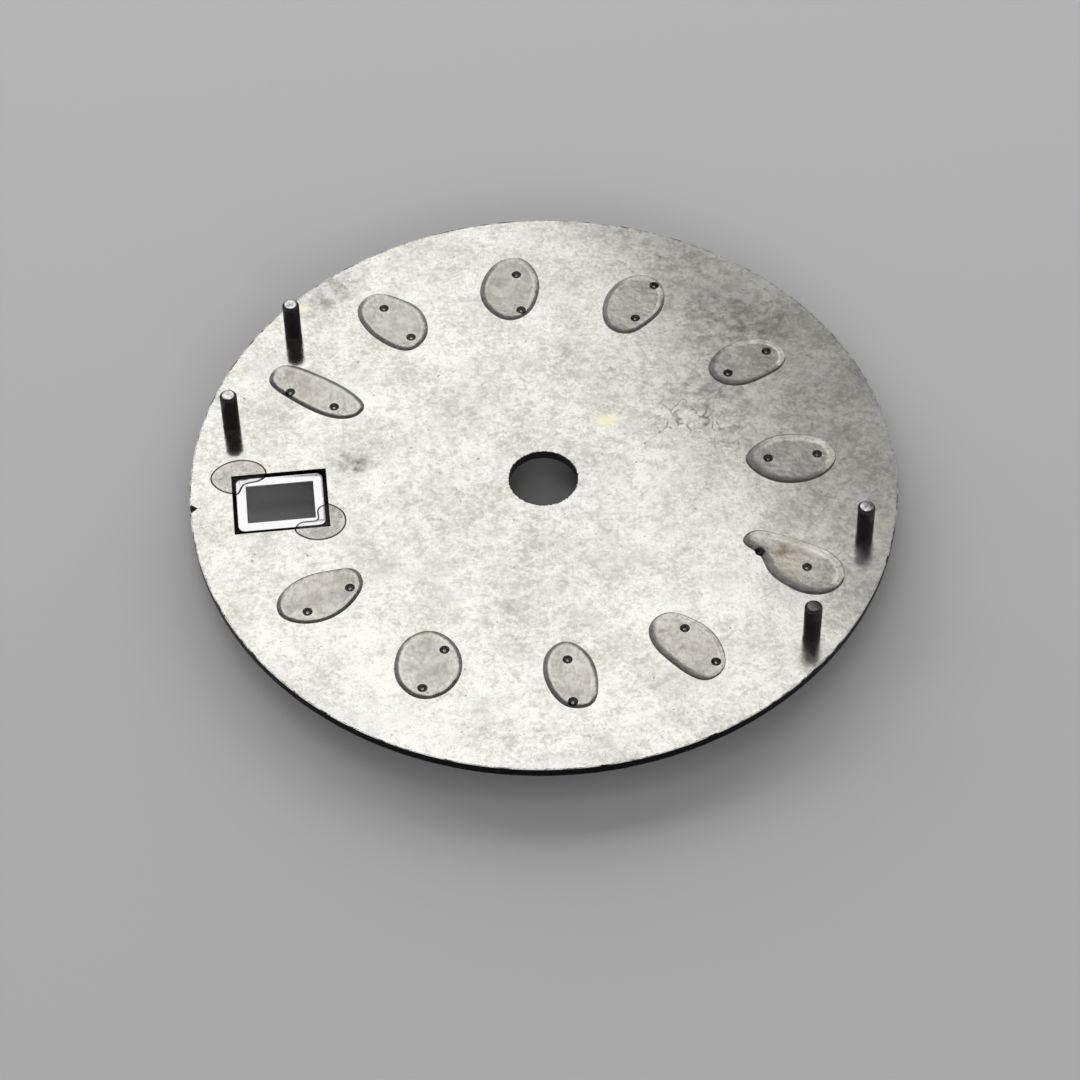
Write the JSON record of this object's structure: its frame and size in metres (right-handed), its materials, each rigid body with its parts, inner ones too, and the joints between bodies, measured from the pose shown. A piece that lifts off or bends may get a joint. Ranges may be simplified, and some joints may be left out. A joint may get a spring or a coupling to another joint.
{
  "type": "watch dial",
  "caption": "Round watch dial with a date opening in a bevelled frame, applied baton markers pinned and glued through the plate, and posts on its back.",
  "frame": {"origin": "on the dial's axis, in the plane of its back", "axes": "+Z away from the back, towards the movement; +Y towards 12 o'clock; 3 o'clock lies on -X"},
  "size_m": [0.0285, 0.0284, 0.0029],
  "materials": {
    "plate_metal": "satin, blasted, silvery, with faint stains",
    "face_lacquer": "satin black lacquer with a pale minute track",
    "foot_metal": "bright drawn wire",
    "marker_metal": "polished",
    "lume": "matt, grainy",
    "glue": "clear, glossy",
    "frame_metal": "polished, bright"
  },
  "bodies": {
    "root": {"dial_plate": "plate_metal", "face_lacquer": "face_lacquer", "date_frame": "frame_metal", "date_glue_outer": "glue", "date_glue_inner": "glue", "dial_foot_1": "foot_metal", "dial_foot_2": "foot_metal", "dial_foot_3": "foot_metal", "dial_foot_4": "foot_metal", "hour_marker_01": "marker_metal", "marker_lume_01": "lume", "marker_glue_01": "glue", "hour_marker_02": "marker_metal", "marker_lume_02": "lume", "marker_glue_02": "glue", "hour_marker_04": "marker_metal", "marker_lume_04": "lume", "marker_glue_04": "glue", "hour_marker_05": "marker_metal", "marker_lume_05": "lume", "marker_glue_05": "glue", "hour_marker_06": "marker_metal", "marker_lume_06": "lume", "marker_glue_06": "glue", "hour_marker_07": "marker_metal", "marker_lume_07": "lume", "marker_glue_07": "glue", "hour_marker_08": "marker_metal", "marker_lume_08": "lume", "marker_glue_08": "glue", "hour_marker_09": "marker_metal", "marker_lume_09": "lume", "marker_glue_09": "glue", "hour_marker_10": "marker_metal", "marker_lume_10": "lume", "marker_glue_10": "glue", "hour_marker_11": "marker_metal", "marker_lume_11": "lume", "marker_glue_11": "glue", "hour_marker_12": "marker_metal", "marker_lume_12": "lume", "marker_glue_12": "glue"}
  },
  "joints": []
}
